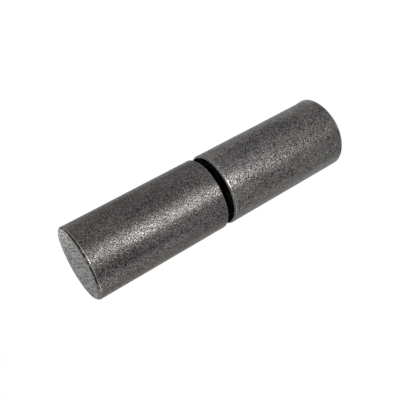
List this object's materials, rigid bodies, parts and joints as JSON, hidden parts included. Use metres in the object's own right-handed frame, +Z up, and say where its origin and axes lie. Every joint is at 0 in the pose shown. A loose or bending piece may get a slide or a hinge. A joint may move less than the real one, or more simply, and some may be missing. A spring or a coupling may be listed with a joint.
{
  "type": "weld on barrel hinge",
  "caption": "Weld-on barrel hinge: round steel bar halves in line, the lower with a pressed-in pin, the upper turning on it over a hidden ball and lifting off.",
  "frame": {"origin": "middle of the lower barrel's free end face, which the hinge stands on", "axes": "+Z up the hinge axis, from the lower barrel to the upper barrel. The hinge is round, so X and Y only complete the frame."},
  "size_m": [0.019, 0.019, 0.075],
  "materials": {
    "barrel_steel": "dark mill scale on hot rolled bar, with the ground ends left bare",
    "pin_steel": "ground bright steel under a thin film of oil",
    "ball_steel": "polished hardened steel"
  },
  "bodies": {
    "lower_half": {"lower_barrel": "barrel_steel", "hinge_pin": "pin_steel"},
    "ball": {"thrust_ball": "ball_steel"},
    "upper_half": {"upper_barrel": "barrel_steel"}
  },
  "joints": [
    {"name": "lift_off", "type": "slide", "parent": "lower_half", "child": "ball", "axis": [0, 0, 1], "range_m": [0, 0.022]},
    {"name": "swing", "type": "hinge", "parent": "ball", "child": "upper_half", "pos_m": [0, 0, 0.0634], "axis": [0, 0, 1], "continuous": true}
  ]
}
